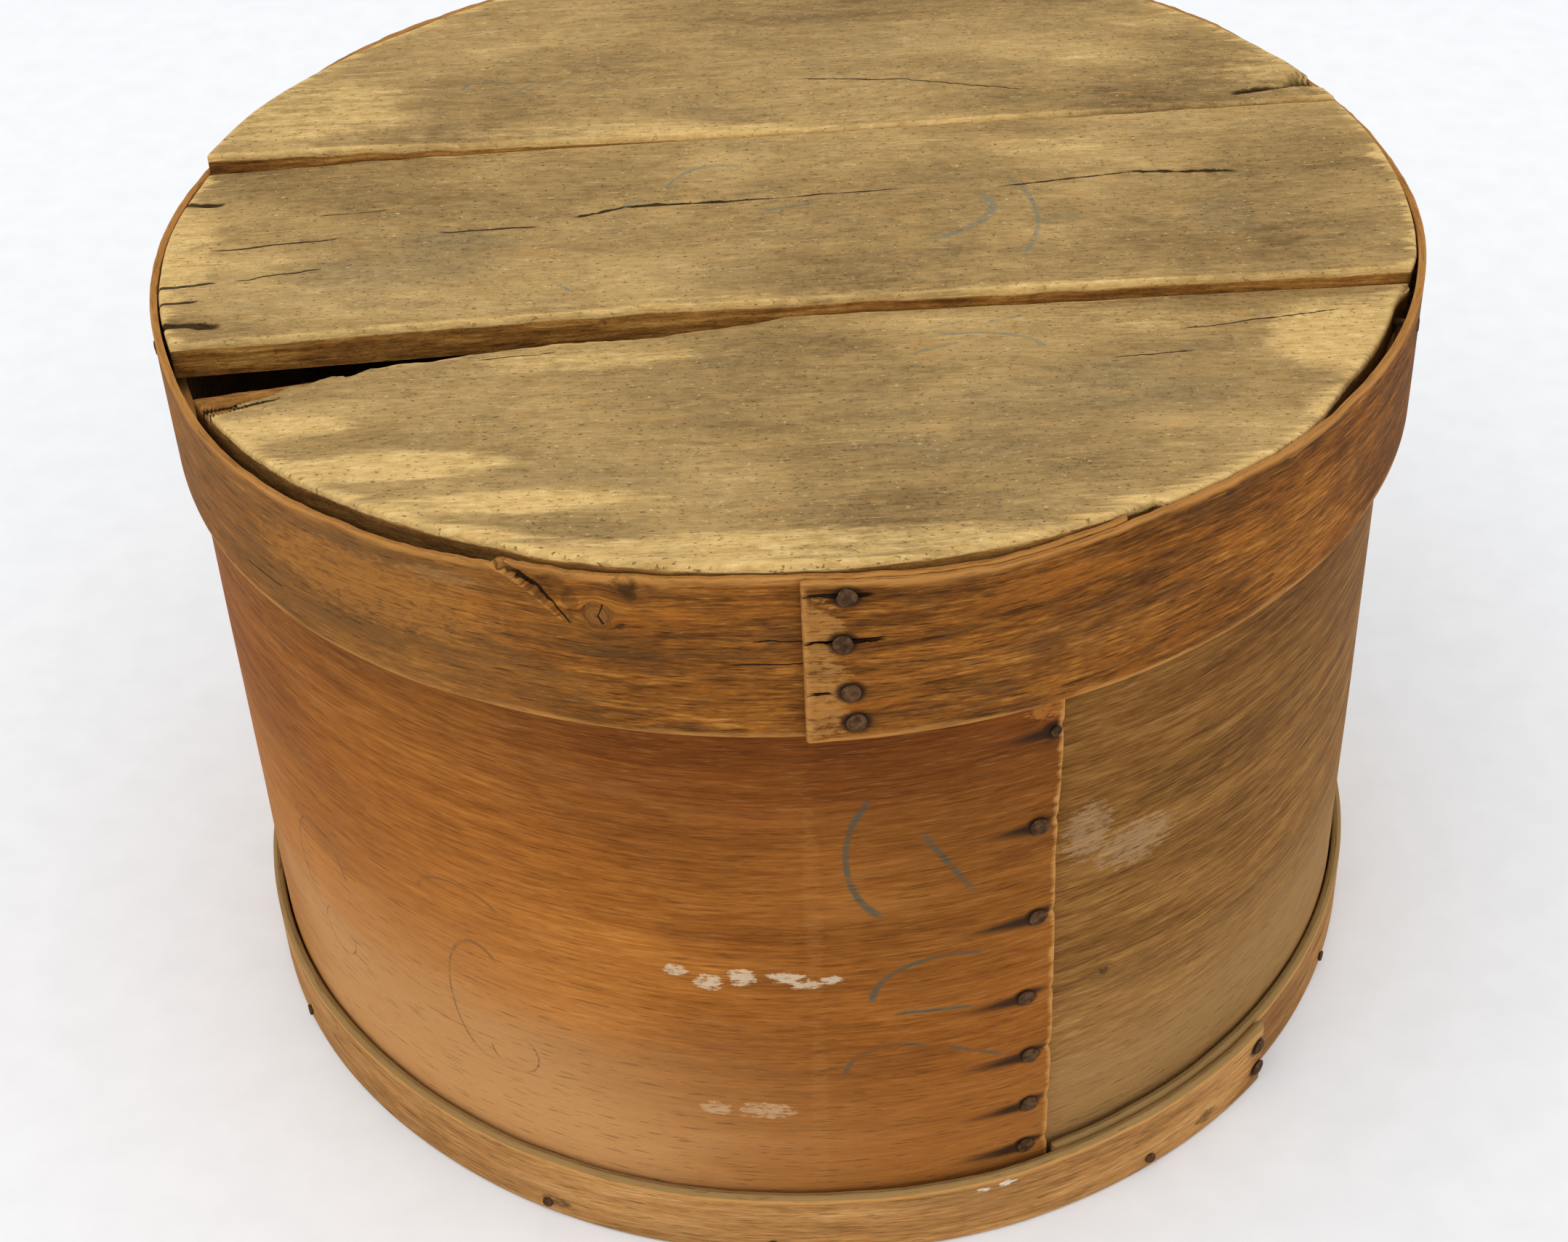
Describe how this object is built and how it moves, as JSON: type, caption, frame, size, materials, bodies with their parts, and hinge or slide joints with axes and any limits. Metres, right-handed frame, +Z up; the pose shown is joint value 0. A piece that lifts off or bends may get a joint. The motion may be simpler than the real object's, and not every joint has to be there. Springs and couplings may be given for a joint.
{
  "type": "round bentwood box with lid",
  "caption": "Round bentwood box with a deep lift-off lid: a lapped wood wall on a board base with a hoop, and a boarded lid in a lapped band.",
  "frame": {"origin": "centre of the base, on the surface the box stands on", "axes": "+Z up along the axis of the round, -Y towards the side with the laps, +X to the right seen from there"},
  "size_m": [0.4052, 0.4077, 0.2774],
  "materials": {
    "wall_wood": "aged matte, orange-brown to olive, bare of varnish",
    "hoop_wood": "aged matte, worn bright along the arris",
    "base_wood": "dry sawn board, matte",
    "band_wood": "aged matte, mottled brown, worn edges",
    "lid_wood": "weathered planed board, matte",
    "nail_iron": "rusty, rough"
  },
  "bodies": {
    "box": {"bottom_board_back": "base_wood", "bottom_board_front": "base_wood", "bottom_board_middle": "base_wood", "bottom_hoop": "hoop_wood", "bottom_nail_1": "nail_iron", "bottom_nail_10": "nail_iron", "bottom_nail_2": "nail_iron", "bottom_nail_3": "nail_iron", "bottom_nail_4": "nail_iron", "bottom_nail_5": "nail_iron", "bottom_nail_6": "nail_iron", "bottom_nail_7": "nail_iron", "bottom_nail_8": "nail_iron", "bottom_nail_9": "nail_iron", "hoop_nail_1": "nail_iron", "hoop_nail_2": "nail_iron", "wall": "wall_wood", "wall_nail_1": "nail_iron", "wall_nail_2": "nail_iron", "wall_nail_3": "nail_iron", "wall_nail_4": "nail_iron", "wall_nail_5": "nail_iron", "wall_nail_6": "nail_iron", "wall_nail_7": "nail_iron", "wall_nail_8": "nail_iron"},
    "lid": {"band_nail_1": "nail_iron", "band_nail_2": "nail_iron", "band_nail_3": "nail_iron", "band_nail_4": "nail_iron", "lid_band": "band_wood", "lid_board_back": "lid_wood", "lid_board_front": "lid_wood", "lid_board_middle": "lid_wood", "rim_nail_1": "nail_iron", "rim_nail_2": "nail_iron", "rim_nail_3": "nail_iron", "rim_nail_4": "nail_iron", "rim_nail_5": "nail_iron", "rim_nail_6": "nail_iron", "rim_nail_7": "nail_iron", "rim_nail_8": "nail_iron", "rim_nail_9": "nail_iron"}
  },
  "joints": [
    {"name": "lid_lift", "type": "slide", "parent": "box", "child": "lid", "axis": [0, 0, 1], "range_m": [0, 0.3]}
  ]
}
